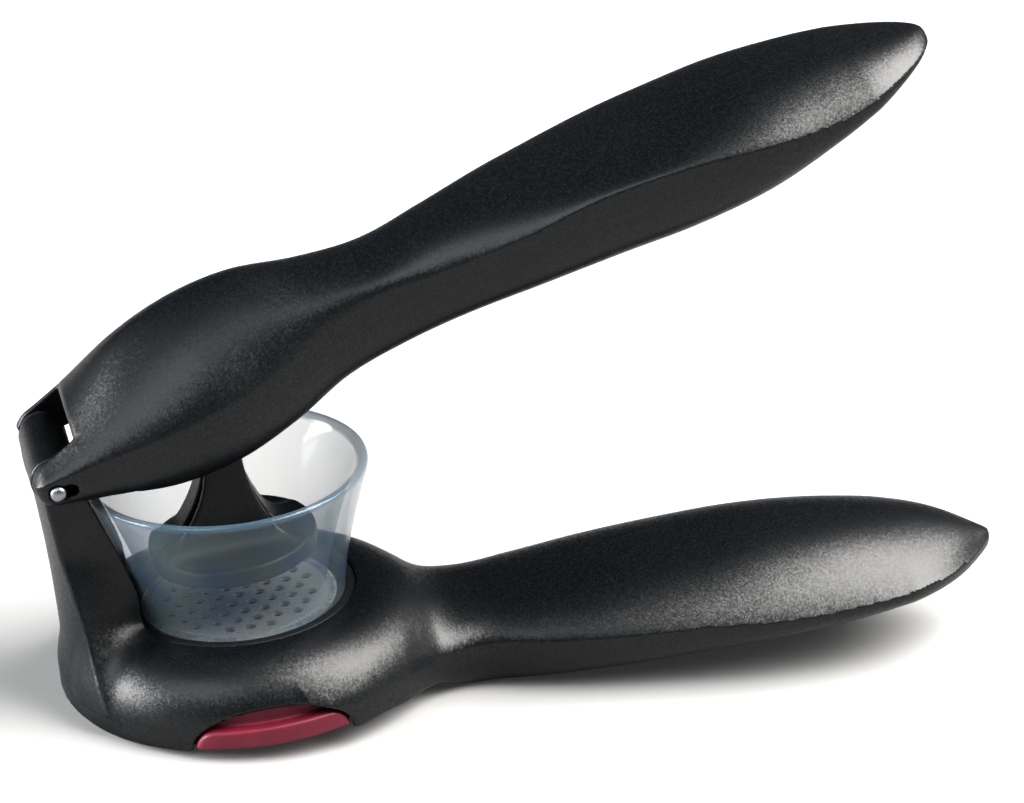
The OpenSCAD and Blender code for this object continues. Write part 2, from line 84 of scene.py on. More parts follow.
def colour(text):
    """sRGB hex to linear, opaque: c/12.92 up to 0.04045, ((c+0.055)/1.055)^2.4 above."""
    parts = [int(text[i:i + 2], 16) / 255.0 for i in (1, 3, 5)]
    return tuple(c / 12.92 if c <= 0.04045 else ((c + 0.055) / 1.055) ** 2.4 for c in parts) + (1.0,)


def soft_light(name, place, aim, size, power, tint):
    """Rectangular lamp at a place in metres, its face turned to what it aims at."""
    data = bpy.data.lights.new(name, "AREA")
    data.shape = "RECTANGLE"
    data.size, data.size_y = size
    data.energy = power
    data.color = tint
    lamp = bpy.data.objects.new(name, data)
    place, aim = Vector(place), Vector(aim)
    lamp.location = place
    lamp.rotation_euler = (aim - place).to_track_quat("-Z", "Y").to_euler()
    bpy.context.scene.collection.objects.link(lamp)


def new_material(name):
    """An empty node material and its tree."""
    made = bpy.data.materials.new(name)
    made.use_nodes = True
    made.node_tree.nodes.clear()
    return made, made.node_tree


def finish_material(tree, shader):
    """Sends a shader to the tree's output."""
    out = add(tree, "OutputMaterial")
    tree.links.new(shader, out.inputs["Surface"])


def make_stage():
    """Pale floor in the plane of the land that the press stands on, falling to the right, under a dim grey sky
    that is a little lighter near the horizon."""
    data = bpy.data.meshes.new("floor")
    corners = np.array([(-1, -1), (1, -1), (1, 1), (-1, 1)]) * FLOOR_HALF
    z = STAND_RISE * MM - math.tan(STAND_TILT) * (corners[:, 0] + RING_R * MM)
    data.from_pydata(np.c_[corners, z].tolist(), [], [(0, 1, 2, 3)])
    floor = bpy.data.objects.new("floor", data)
    bpy.context.scene.collection.objects.link(floor)
    mat, tree = new_material("paper_sweep")
    tex = add(tree, "TexCoord")
    noise = add(tree, "TexNoise", {"Vector": tex.outputs["Object"], "Scale": 8.0, "Detail": 2.0})
    ramp = add(tree, "ValToRGB", {"Fac": noise.outputs["Fac"]})
    ramp.color_ramp.elements[0].color = colour("#9C9C9C")
    ramp.color_ramp.elements[1].color = colour("#A2A2A2")
    bsdf = add(tree, "BsdfPrincipled", {"Base Color": ramp.outputs["Color"], "Roughness": 0.9,
                                        "Emission Color": (1, 1, 1, 1), "Emission Strength": 0.04})
    finish_material(tree, bsdf.outputs["BSDF"])
    data.materials.append(mat)
    world = bpy.data.worlds.new("studio")
    bpy.context.scene.world = world
    world.use_nodes = True
    tree = world.node_tree
    tree.nodes.clear()
    tex = add(tree, "TexCoord")
    split = add(tree, "SeparateXYZ", {"Vector": tex.outputs["Generated"]})
    ramp = add(tree, "ValToRGB", {"Fac": split.outputs["Z"]})
    ramp.color_ramp.elements[0].position = 0.05
    ramp.color_ramp.elements[0].color = (0.10, 0.105, 0.11, 1)
    ramp.color_ramp.elements[1].position = 0.35
    ramp.color_ramp.elements[1].color = (0.05, 0.055, 0.06, 1)
    back = add(tree, "Background", {"Color": ramp.outputs["Color"], "Strength": 1.0})
    out = add(tree, "OutputWorld")
    tree.links.new(back.outputs["Background"], out.inputs["Surface"])


make_camera()
make_stage()
# a warm main light high on the right, a weak one at the front left, and one low on the left for the tower's edge
soft_light("right_box", (0.95, -0.20, 0.98), (0.03, 0, 0.03), (1.3, 1.1), 58.0, (1.0, 0.98, 0.95))
soft_light("left_box", (-0.55, -0.66, 1.05), (0, 0, 0.03), (0.8, 0.8), 7.0, (0.95, 0.98, 1.0))
soft_light("side_box", (-1.0, 0.10, 0.30), (-0.03, 0, 0.03), (0.8, 0.7), 26.0, (1.0, 1.0, 1.0))
view = bpy.context.scene.view_settings
view.view_transform = "Standard"
view.look = "High Contrast"


# ---------------------------------------------------------------- castings
# The castings, piston, hopper, seal and scraper are surfaces where a field of distances is zero. A two-parameter
# grid can't give the hollows where ring, tower and lever run into each other, nor their rounded cuts.
def through(stations, values):
    """Smooth curve through stations: a cubic between each pair, its slope at a station that of the line through
    the two neighbours."""
    xs, ys = np.asarray(stations, float), np.asarray(values, float)
    lo, hi = np.r_[0, np.arange(len(xs) - 1)], np.r_[np.arange(1, len(xs)), len(xs) - 1]
    slopes = (ys[hi] - ys[lo]) / (xs[hi] - xs[lo])
    fine = np.linspace(xs[0], xs[-1], 4000)
    i = np.clip(np.searchsorted(xs, fine, side="right") - 1, 0, len(xs) - 2)
    h = xs[i + 1] - xs[i]
    t = (fine - xs[i]) / h
    curve = (ys[i] * (1 + 2 * t) * (1 - t) ** 2 + slopes[i] * h * t * (1 - t) ** 2
             + ys[i + 1] * (3 - 2 * t) * t * t - slopes[i + 1] * h * (1 - t) * t * t)
    return lambda x: np.interp(x, fine, curve)


def join(a, b, r):
    """Union of two solids with a fillet: the smaller distance, less (r-|a-b|)^2/4r where they are within r."""
    h = np.maximum(r - np.abs(a - b), 0.0) / r
    return np.minimum(a, b) - h * h * r / 4


def cut(a, b, r):
    """Solid a without solid b, its edges rounded by r."""
    return -join(-a, b, r)


def both(a, b, r):
    """What two solids share, its edges rounded by r."""
    return -join(-a, -b, r)


def slopes_of(field, p, h=0.02):
    """Slope of a field at points: (f(p + h) - f(p - h)) / 2h along each axis."""
    out = np.empty_like(p)
    for axis in range(3):
        a, b = p.copy(), p.copy()
        a[:, axis] += h
        b[:, axis] -= h
        out[:, axis] = (field(*a.T) - field(*b.T)) / (2 * h)
    return out


def as_distance(gauge, x, y, z, h=0.05):
    """A gauge that is zero on a surface, divided by its own slope, so it reads as distance."""
    g = gauge(x, y, z)
    dx = (gauge(x + h, y, z) - g) / h
    dy = (gauge(x, y + h, z) - g) / h
    dz = (gauge(x, y, z + h) - g) / h
    return g / np.sqrt(dx * dx + dy * dy + dz * dz + 1e-6)


def skin_of(field, xs, ys, zs, passes=2):
    """Mesh of field = 0 on a grid: a point in each crossed cell, slid along the slope onto the surface,
    and a quad across each crossed grid edge. The field is worked out on every fourth grid line, and on all
    of them only within 5 mm of the surface. Returns points, quads and outward normals."""
    axes = [np.asarray(a, float) for a in (xs, ys, zs)]
    step, band = 4, 5.0
    coarse_axes = [a[::step] for a in axes]
    grid = np.meshgrid(*coarse_axes, indexing="ij")
    coarse = field(*(g.ravel() for g in grid)).reshape(grid[0].shape)
    pick = [np.minimum((np.arange(len(a)) + step // 2) // step, len(c) - 1) for a, c in zip(axes, coarse_axes)]
    values = coarse[np.ix_(*pick)]
    i, j, k = np.nonzero(np.abs(values) < band)
    values[i, j, k] = field(axes[0][i], axes[1][j], axes[2][k])
    inside = values < 0
    cells = np.array(values.shape) - 1
    total = np.zeros((int(cells.prod()), 3), np.float32)
    count = np.zeros(int(cells.prod()), np.float32)
    quads = []
    for axis in range(3):
        one, two = (axis + 1) % 3, (axis + 2) % 3
        low = [slice(None)] * 3
        low[axis] = slice(None, -1)
        high = [slice(None)] * 3
        high[axis] = slice(1, None)
        at = np.array(np.nonzero(inside[tuple(low)] != inside[tuple(high)])).T
        nxt = at.copy()
        nxt[:, axis] += 1
        fa, fb = values[tuple(at.T)], values[tuple(nxt.T)]
        t = fa / (fa - fb)
        point = np.stack([axes[n][at[:, n]] for n in range(3)], 1)
        point[:, axis] += t * (axes[axis][nxt[:, axis]] - axes[axis][at[:, axis]])
        around = []
        for a, b in ((-1, -1), (0, -1), (0, 0), (-1, 0)):
            cell = at.copy()
            cell[:, one] += a
            cell[:, two] += b
            flat = np.ravel_multi_index(tuple(cell.T), tuple(cells))
            around.append(flat)
            np.add.at(total, flat, point)
            np.add.at(count, flat, 1)
        ring = np.stack(around, 1)
        flip = fa > 0
        ring[flip] = ring[flip][:, ::-1]
        quads.append(ring)
    quads = np.concatenate(quads)
    used = np.nonzero(count)[0]
    index = np.full(len(count), -1)
    index[used] = np.arange(len(used))
    quads = index[quads]
    p = (total[used] / count[used, None]).astype(float)
    cell = max(a[1] - a[0] for a in axes)

    def settle(p, turns):
        """Slides points onto the surface: p - slope * f / |slope|^2, by a cell at most, a few times."""
        for _ in range(turns):
            g = slopes_of(field, p)
            f = field(*p.T)
            move = f / np.maximum((g * g).sum(1), 0.2)
            p = p - g * np.clip(move, -cell, cell)[:, None]
        return p

    p = settle(p, 3)
    edges = np.concatenate([quads[:, [a, (a + 1) % 4]] for a in range(4)])
    for _ in range(passes):
        mean, n = np.zeros_like(p), np.zeros(len(p))
        np.add.at(mean, edges[:, 0], p[edges[:, 1]])
        np.add.at(n, edges[:, 0], 1)
        p = settle(p + 0.5 * (mean / n[:, None] - p), 2)
    g = slopes_of(field, p)
    return p, quads, g / np.maximum(np.sqrt((g * g).sum(1)), 1e-9)[:, None]


def piece(name, points, faces, body, look, normals, replaces):
    """Makes a mesh piece from points in millimetres, and lets it ride on a body."""
    mesh = bpy.data.meshes.new(name)
    faces = np.asarray(faces)
    sides = faces.shape[1]
    mesh.vertices.add(len(points))
    mesh.vertices.foreach_set("co", (np.asarray(points, np.float32) * MM).ravel())
    mesh.loops.add(faces.size)
    mesh.loops.foreach_set("vertex_index", faces.ravel().astype(np.int32))
    mesh.polygons.add(len(faces))
    mesh.polygons.foreach_set("loop_start", np.arange(0, faces.size, sides, dtype=np.int32))
    mesh.polygons.foreach_set("use_smooth", np.ones(len(faces), bool))
    mesh.update(calc_edges=True)
    mesh.validate()
    if normals is not None:
        mesh.normals_split_custom_set_from_vertices(normals.tolist())
    mesh.materials.append(looks[look])
    made = bpy.data.objects.new(name, mesh)
    bpy.context.scene.collection.objects.link(made)
    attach(made, body)
    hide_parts(*replaces)


# Sizes shared by the castings, in millimetres.
RING_H, SHOULDER_R, SHOULDER_Z = 14.5, 23.4, 3.5
BORE_R, SEAT_Z, CHUTE_R, SIEVE_R, SIEVE_LOW = 21.0, 13.2, 16.8, 18.5, 12.4
FOOT_R, HOPPER_TOP = 20.2, 40.8
PIN_X, PIN_Z, PIN_R = -32.0, 47.5, 1.6
LUG_R, LUG_HALF_W = 4.4, 10.4
PLATE_R, PLATE_T = 29.4, 1.6
SEAL_R, SEAL_Z = 22.2, 13.5
CUP_GAP, EDGE = 0.7, 0.3
ARCH_HALF_W, ARCH_H, ARCH_IN_R = 14.6, 7.2, 27.3
CHANNEL_X, CHANNEL_Y = 13.6, 18.9
REST, CLOSED = math.radians(18.1), math.radians(1.3)
CELL, OFF_ROUND = 0.5, 0.0137

LOWER_X = [10, 16, 22, 26, 30, 35, 44, 56, 70, 85, 100, 115, 130, 140, 148.5]
lower_w = through(LOWER_X, [33, 30.6, 27, 24.2, 20.6, 17.2, 15.6, 18.3, 21, 22.5, 23.2, 21.9, 19.3, 15.6, 9])
lower_edge = through(LOWER_X, [4, 3.8, 3.5, 3.2, 2.8, 2.4, 2.4, 2.1, 2.1, 1.9, .8, .4, .9, .3, .1])
lower_top = through(LOWER_X, [10, 12, 12.4, 12, 11.2, 9.4, 7.8, 7.8, 8.7, 9.6, 10.6, 10.2, 8.4, 6, 1.9])
lower_low = through(LOWER_X, [0, -.9, -3.4, -6, -7.9, -8.9, -9.7, -9.8, -9.2, -8.2, -7.3, -6.2,
                              -5.1, -4.6, -4.2])
lower_p = through(LOWER_X, [2, 2, 2, 2, 2, 2.3, 2.8, 3, 3.2, 3.2, 2.9, 2.6, 2.2, 2.3, 2])
lower_q = through(LOWER_X, [.6, .6, .6, .6, .65, .68, .66, .72, .86, .94, .95, .95, 1.1, 1.15, 1.1])
lower_belly = through(LOWER_X, [4, 4, 4, 4, 3.6, 3, 2.7, 2.6, 2.6, 2.6, 2.5, 2.5, 2.5, 2.5, 2.5])
LOWER_ROOT, LOWER_TIP, LOWER_NOSE = 9, 148.5, 22.0

UPPER_U = [-4, 8, 20, 32, 44, 56, 68, 80, 95, 110, 125, 140, 155, 168, 178.5]
upper_w = through(UPPER_U, [16, 17.6, 19, 18.6, 15.6, 12.5, 11.5, 13.3, 17, 18.9, 20.9, 21.5, 19.1, 15.6, 13.5])
upper_edge = through(UPPER_U, [2.4, 2.6, 2.2, 2, 2.4, 5, 5.9, 6, 7, 8.2, 7.5, 4.9, 2.3, 2.4, 2.2])
upper_top = through(UPPER_U, [4.4, 10.2, 15.9, 18.3, 17.8, 13.4, 11.1, 12.1, 12.2, 11.2, 10.6, 12,
                              10.5, 7.8, 5.6])
upper_low = through(UPPER_U, [-3.6, -6.9, -10.5, -11.4, -10.2, -7.5, -6.7, -6.1, -6, -6.6, -7.1,
                              -6.1, -3.2, -.4, 2])
upper_p = through(UPPER_U, [2.2, 2, 1.6, 1.6, 1.75, 2.2, 2.1, 2.6, 3.3, 3.5, 3.3, 3, 3.3, 3, 2.6])
upper_q = through(UPPER_U, [.66, .7, .68, .64, .58, .42, .42, .72, .82, .66, .6, .8, .92, .88, .8])
UPPER_BELLY = 4
UPPER_TIP, UPPER_NOSE = 178.5, 16.0
FORK_END, SLOT_ROOT, SLOT_HALF_W = -3.8, 5.7, 12.0
EYE_U, EYE_V, EYE_ROOM_R = 32, 1, 5.8
POCKET_FROM, POCKET_TO, POCKET_HALF_W = 16.5, 37.8, 7.8

tower_turn = through([2, 6, 9.5, 15.2, 20.7, 25.8, 31.8, 40], [0.85, 0.72, 0.62, 0.46, 0.32, 0.18, 0.04, 0.0])
TOWER_HALF, TOWER_NEAR, TOWER_FRONT, TOWER_LOW = 10.4, -18.0, -3, 6


def nose(x, tip, length):
    """Share of the width left in the rounded nose: sqrt(1 - e^1.6), e the share of the nose passed."""
    e = np.clip((x - tip + length) / length, 0, 1)
    return np.sqrt(np.maximum(1 - e ** 1.6, 0.0006))


def lever_gauge(across, height, w, edge, top, low, p, q, belly):
    """Lever section, t across and h from the edge line, both from 0 to 1: h = (1 - t^p)^q above,
    t^belly + h^belly = 1 below."""
    t = np.abs(across) / w
    up = np.maximum(height - edge, 0) / (top - edge)
    down = np.maximum(edge - height, 0) / (edge - low)
    above = (t ** p + up ** (1 / q)) ** (1 / p)
    below = (t ** belly + down ** belly) ** (1 / belly)
    return np.where(height > edge, above, below) - 1


def lower_gauge(x, y, z):
    """Lower lever's section at x, drawn in towards its nose: width by the nose's share, height by share^0.4."""
    n = nose(x, LOWER_TIP, LOWER_NOSE)
    edge, thin = lower_edge(x), n ** 0.4
    return lever_gauge(y, z, lower_w(x) * n, edge, edge + (lower_top(x) - edge) * thin,
                       edge + (lower_low(x) - edge) * thin, lower_p(x), lower_q(x), lower_belly(x))


def upper_gauge(u, y, v):
    """Upper lever's section at u, drawn in towards its nose in the same way."""
    n = nose(u, UPPER_TIP, UPPER_NOSE)
    edge, thin = upper_edge(u), n ** 0.4
    return lever_gauge(y, v, upper_w(u) * n, edge, edge + (upper_top(u) - edge) * thin,
                       edge + (upper_low(u) - edge) * thin, upper_p(u), upper_q(u), UPPER_BELLY)


def hopper_r(z):
    """Hopper's outer radius: foot radius plus 6.8 mm of flare that grows with height^1.35."""
    return FOOT_R + 6.8 * np.clip((z - RING_H) / (HOPPER_TOP - RING_H), 0, 2) ** 1.35


def body_field(x, y, z):
    """Base ring, hinge tower and lower lever in one casting, with its seats and bores."""
    r = np.sqrt(x * x + y * y)
    rise = (z - SHOULDER_Z) / (RING_H - SHOULDER_Z)
    out = np.maximum(r - SHOULDER_R, 0) / (RING_R - SHOULDER_R)
    s = np.maximum(rise, 0)
    g = out ** 2 + s * s - 1
    slope = np.sqrt((2 * out / (RING_R - SHOULDER_R)) ** 2 + (2 * s / (RING_H - SHOULDER_Z)) ** 2 + 1e-4)
    ring = np.where(g > 6, 20.0, g / slope)
    lever = np.maximum(np.maximum(as_distance(lower_gauge, x, y, z), LOWER_ROOT - x), x - LOWER_TIP)
    f = join(ring, lever, 5.0)
    climb = np.clip((z - 9) / (PIN_Z - 9), 0, 1)
    back = r - (RING_R - 1.2 + 2.5 * climb ** 2)
    front = np.where(z > RING_H - 1, hopper_r(z) + CUP_GAP, FOOT_R + 1.0) - r
    # near face of the tower: square at the top, turned outwards at the back lower down
    turn = tower_turn(z)
    sides = (np.abs(y) - TOWER_HALF - turn * np.maximum(TOWER_NEAR - x, 0)) / np.sqrt(1 + turn ** 2)
    tower = both(both(both(back, sides, 0.8), front, 0.6), z - PIN_Z, 0.8)
    tower = np.maximum(np.maximum(tower, x - TOWER_FRONT), TOWER_LOW - z)
    lug = both(np.sqrt((x - PIN_X) ** 2 + (z - PIN_Z) ** 2) - LUG_R, np.abs(y) - LUG_HALF_W, 0.6)
    # the tower's flanks run out into the ring in a wider hollow than its back
    reach = np.clip((np.abs(y) - 8) / 7, 0, 1)
    f = join(f, join(tower, lug, 1.0), 2.0 + 4.0 * reach ** 2 * (3 - 2 * reach))
    # the flat foot, and the slope from it down to the belly
    f = both(f, join(-z, -(r - (RING_R - 0.5) + z) * 0.7071, 2.0), 1.0)
    f = both(f, -((z - STAND_RISE) * math.cos(STAND_TILT) + (x + RING_R) * math.sin(STAND_TILT)), 0.3)
    # seat, sieve recess, chute and the recess of the base plate
    f = cut(f, np.maximum(r - BORE_R, SEAT_Z - z), EDGE)
    f = cut(f, np.maximum(r - SEAL_R, SEAL_Z - z), EDGE)
    cup = np.maximum(np.maximum(r - hopper_r(z) - CUP_GAP, RING_H - z), z - HOPPER_TOP - CUP_GAP)
    f = cut(f, cup, EDGE)
    f = cut(f, np.maximum(r - SIEVE_R, SIEVE_LOW - z), EDGE)
    f = cut(f, r - CHUTE_R, EDGE)
    f = cut(f, np.maximum(r - PLATE_R, z - PLATE_T), EDGE)
    # half-oval arch for the tab, and the channel that its rails and cross bar slide in
    oval = (np.sqrt((x / ARCH_HALF_W) ** 2 + (np.maximum(z, 0) / ARCH_H) ** 2) - 1) * ARCH_H
    f = cut(f, np.maximum(oval, np.maximum(y, ARCH_IN_R - r)), 0.5)
    inside = np.maximum(np.abs(x) - CHANNEL_X, np.abs(y) - CHANNEL_Y)
    return cut(f, np.maximum(inside, np.maximum(PLATE_T - z, z - SIEVE_LOW)), EDGE)


def upper_field(u, y, v):
    """Upper lever in its own frame, u along it and v up from the hinge pin, with its fork slot, pin holes, stem
    pocket and room for the hopper's rim when closed."""
    f = np.maximum(as_distance(upper_gauge, u, y, v), u - UPPER_TIP)
    f = both(f, FORK_END - u, 3.0)
    # the slot's root leans back below, clear of the tower when the lever is closed
    slot = both(u - SLOT_ROOT - 0.12 * v - 0.35 * np.maximum(-3 - v, 0), np.abs(y) - SLOT_HALF_W, 0.6)
    f = cut(f, slot, 0.9)
    f = cut(f, np.sqrt(u * u + v * v) - PIN_R - 0.05, EDGE)
    # short recess beside each end of the pin, and a notch in the far arm under the slot's root
    heel = np.sqrt(np.maximum(np.abs(u - 1.6) - 0.8, 0) ** 2 + (v + 0.35) ** 2) - 1.25
    f = cut(f, np.maximum(heel, 13.2 - np.abs(y)), EDGE)
    notch = both(np.abs(u - 4.4) - 1.9, v + 1.3, 0.5)
    f = cut(f, np.maximum(notch, 11.0 - y), 0.4)
    # room for the stem's eye, open below
    eye = np.sqrt((u - EYE_U) ** 2 + (v - EYE_V) ** 2)
    below = np.maximum(np.maximum(POCKET_FROM - u, u - POCKET_TO), v - EYE_V)
    f = cut(f, np.maximum(np.minimum(eye - EYE_ROOM_R, below), np.abs(y) - POCKET_HALF_W), EDGE)
    x = PIN_X + u * math.cos(CLOSED) - v * math.sin(CLOSED)
    z = PIN_Z + u * math.sin(CLOSED) + v * math.cos(CLOSED)
    r = np.sqrt(x * x + y * y)
    rim = np.maximum(np.abs(r - hopper_r(HOPPER_TOP) + 1.2) - 1.9, z - HOPPER_TOP - CUP_GAP)
    return cut(f, rim, EDGE)


# ---------------------------------------------------------------- finishes
def grain_of(tree, size, detail=2.0):
    """Noise whose patches are about this many millimetres across, fixed to the object."""
    where = add(tree, "TexCoord").outputs["Object"]
    return add(tree, "TexNoise", {"Vector": where, "Scale": 1 / (size * MM), "Detail": detail}).outputs["Fac"]


def ramp_of(tree, value, low, high, start=0.3, end=0.7):
    """Two colours along a value."""
    made = add(tree, "ValToRGB", {"Fac": value})
    stops = made.color_ramp.elements
    stops[0].position, stops[0].color = start, colour(low)
    stops[1].position, stops[1].color = end, colour(high)
    return made.outputs["Color"]


def spread(tree, value, low, high):
    """Straight-line value from low to high as the input goes from 0 to 1."""
    return add(tree, "MapRange", {"Value": value, "To Min": low, "To Max": high}).outputs["Result"]


def relief(tree, value, depth, strength=1.0):
    """Bump whose full height is this many millimetres."""
    return add(tree, "Bump", {"Height": value, "Strength": strength, "Distance": depth * MM}).outputs["Normal"]


def surface(tree, mat, **inputs):
    """Closes a material on one physically based shader."""
    bsdf = add(tree, "BsdfPrincipled", {key.replace("_", " "): value for key, value in inputs.items()})
    finish_material(tree, bsdf.outputs["BSDF"])
    return mat


def enamel():
    """Die-cast aluminium sprayed with charcoal enamel that carries a fine metallic flake, satin:
    dark and slightly blue in the shade, warm grey where the light is square on, a faint grain of glints."""
    mat, tree = new_material("flake_enamel")
    where = add(tree, "TexCoord").outputs["Object"]
    flake = add(tree, "TexVoronoi", {"Vector": where, "Scale": 1 / (0.3 * MM)})
    tone = ramp_of(tree, flake.outputs["Color"], "#050709", "#191C20", 0.3, 0.95)
    # each flake lies a few degrees off the surface, so some catch the light and some do not
    centred = add(tree, "VectorMath", {0: flake.outputs["Color"], 1: (0.5, 0.5, 0.5)}, operation="SUBTRACT")
    lean = add(tree, "VectorMath", {0: centred.outputs["Vector"], "Scale": 0.11}, operation="SCALE")
    normal = add(tree, "NewGeometry").outputs["Normal"]
    tilted = add(tree, "VectorMath", {0: normal, 1: lean.outputs["Vector"]}, operation="ADD")
    unit = add(tree, "VectorMath", {0: tilted.outputs["Vector"]}, operation="NORMALIZE")
    return surface(tree, mat, Base_Color=tone, Metallic=0.0,
                   Roughness=spread(tree, flake.outputs["Distance"], 0.36, 0.43), Normal=unit.outputs["Vector"])


def steel():
    """Stamped stainless steel: soft grey mirror broken by rolling grain, a little smeared where it is handled."""
    mat, tree = new_material("satin_steel")
    where = add(tree, "TexCoord").outputs["Object"]
    drawn = add(tree, "Mapping", {"Vector": where, "Scale": (1, 14, 1)})
    noise = add(tree, "TexNoise", {"Vector": drawn.outputs["Vector"], "Scale": 160.0, "Detail": 4.0})
    streaks = noise.outputs["Fac"]
    return surface(tree, mat, Base_Color=ramp_of(tree, streaks, "#84878B", "#A2A5A8"), Metallic=1.0,
                   Roughness=spread(tree, grain_of(tree, 2.0), 0.3, 0.42),
                   Normal=relief(tree, streaks, 0.01, 0.5))


def pierced():
    """Pierced stainless sheet, tumbled after stamping: pale, matt, with fine scuffs in every direction."""
    mat, tree = new_material("tumbled_steel")
    scuff = grain_of(tree, 0.4, 4.0)
    return surface(tree, mat, Base_Color=ramp_of(tree, scuff, "#B4B6B8", "#DADBDC"), Metallic=1.0,
                   Roughness=spread(tree, scuff, 0.6, 0.75), Normal=relief(tree, scuff, 0.01))


def bronze():
    """Sintered bronze sleeve: warm brown metal with open pores that look like dark pepper."""
    mat, tree = new_material("sintered_bronze")
    pores = grain_of(tree, 0.15, 3.0)
    return surface(tree, mat, Base_Color=ramp_of(tree, pores, "#5E4426", "#A8814C"), Metallic=1.0,
                   Roughness=spread(tree, pores, 0.6, 0.35), Normal=relief(tree, pores, 0.02))


def nylon():
    """Glass-filled nylon, charcoal: dull, with the faint mottle of the fibres near its skin."""
    mat, tree = new_material("filled_nylon")
    mottle = grain_of(tree, 0.6, 3.0)
    return surface(tree, mat, Base_Color=ramp_of(tree, mottle, "#15171A", "#202327"), Metallic=0.0,
                   Roughness=spread(tree, mottle, 0.45, 0.6), Normal=relief(tree, mottle, 0.02))


def clear_plastic():
    """Clear moulded plastic with a milky blue-grey cast: thin and see-through square on, denser where the eye
    grazes it and along the thick rim, so the edges draw themselves; soft clouding turns it a little green."""
    mat, tree = new_material("milky_clear")
    height = add(tree, "SeparateXYZ", {"Vector": add(tree, "TexCoord").outputs["Object"]}).outputs["Z"]
    rim = add(tree, "MapRange", {"Value": height, "From Min": 39.3 * MM, "From Max": 39.9 * MM}).outputs["Result"]
    facing = add(tree, "LayerWeight", {"Blend": 0.35}).outputs["Facing"]
    wall = add(tree, "MapRange", {"Value": facing, "To Min": 0.17, "To Max": 0.62}).outputs["Result"]
    alpha = add(tree, "Mix", {"Factor": rim, "A": wall, "B": 0.66}).outputs["Result"]
    cloud = ramp_of(tree, grain_of(tree, 9.0, 1.0), "#58697E", "#6A7678", 0.35, 0.65)
    tone = add(tree, "Mix", {"Factor": rim, "A": cloud, "B": colour("#4E606C")}, data_type="RGBA")
    return surface(tree, mat, Base_Color=tone.outputs["Result"], Metallic=0.0,
                   Roughness=spread(tree, grain_of(tree, 3.0), 0.07, 0.14), Alpha=alpha)


def silicone():
    """Black silicone: matt, with fine dust that greys it here and there."""
    mat, tree = new_material("black_silicone")
    dust = grain_of(tree, 1.2, 4.0)
    return surface(tree, mat, Base_Color=ramp_of(tree, dust, "#090A0B", "#17191B"), Metallic=0.0,
                   Roughness=spread(tree, dust, 0.5, 0.7), Normal=relief(tree, dust, 0.02))


def crimson():
    """Moulded crimson nylon with a spark-eroded skin: deep red that varies a little over millimetres, soft sheen,
    and pits too fine to see one by one."""
    mat, tree = new_material("crimson_nylon")
    pits = grain_of(tree, 0.25, 3.0)
    return surface(tree, mat, Base_Color=ramp_of(tree, grain_of(tree, 4.0), "#5E192B", "#6A2033"),
                   Metallic=0.0, Roughness=spread(tree, pits, 0.42, 0.56), Normal=relief(tree, pits, 0.02))


looks = {"enamel": enamel(), "steel": steel(), "bronze": bronze(), "nylon": nylon(),
         "clear_plastic": clear_plastic(), "black_rubber": silicone(), "red_plastic": crimson(),
         "pierced": pierced()}
for name, obj in nodes.items():
    slot = obj.data.materials[0].name.split(".")[0]
    obj.data.materials.clear()
    obj.data.materials.append(looks["pierced" if name == "sieve_plate" else slot])


# ---------------------------------------------------------------- the castings' skins
def steps(a, b, size):
    """Grid lines from a to b, set a hair off round numbers so that none lies in a flat face."""
    return np.linspace(a, b, int(round((b - a) / size)) + 1) + OFF_ROUND


def turned_lever(p, n):
    """From the upper lever's own frame, origin on the hinge pin, to its rest place."""
    c, s = math.cos(REST), math.sin(REST)
    turn = np.array([[c, 0, -s], [0, 1, 0], [s, 0, c]])
    return p @ turn.T + np.array([PIN_X, 0, PIN_Z]), n @ turn.T


# The levers past the ring and the spoon change slowly, so there the grid is coarser along them.
along = np.r_[steps(-39, 46, CELL), steps(47, 150.5, 1.0)]
p, q, n = skin_of(body_field, along, steps(-37, 37, CELL), steps(-11, 54, CELL))
piece("body_casting", p, q, "base", "enamel", n, ("body",))
along = np.r_[steps(-6, 40, CELL), steps(41, 180.5, 1.0)]
p, q, n = skin_of(upper_field, along, steps(-25, 25, CELL), steps(-13, 21, CELL))
p, n = turned_lever(p, n)
piece("upper_lever", p, q, "lever", "enamel", n, ("upper_handle",))

# ---------------------------------------------------------------- piston
PIVOT = np.array([-1.894, 0, 58.392])
PISTON_TILT, DROP, HEAD_R, HEAD_T = math.radians(3.36), 35.776, 15.8, 3.6
FLARE_FROM, STEM_HALF, STEM_FLARE, STEM_LEAN = 14.0, 3.6, 7.6, 2.0
STEM_MID_Y, STEM_HALF_T = -0.9, 5.6
PISTON_EYE_R, PISTON_EYE_HALF, PISTON_BORE_R = 5.0, 6.4, 1.75


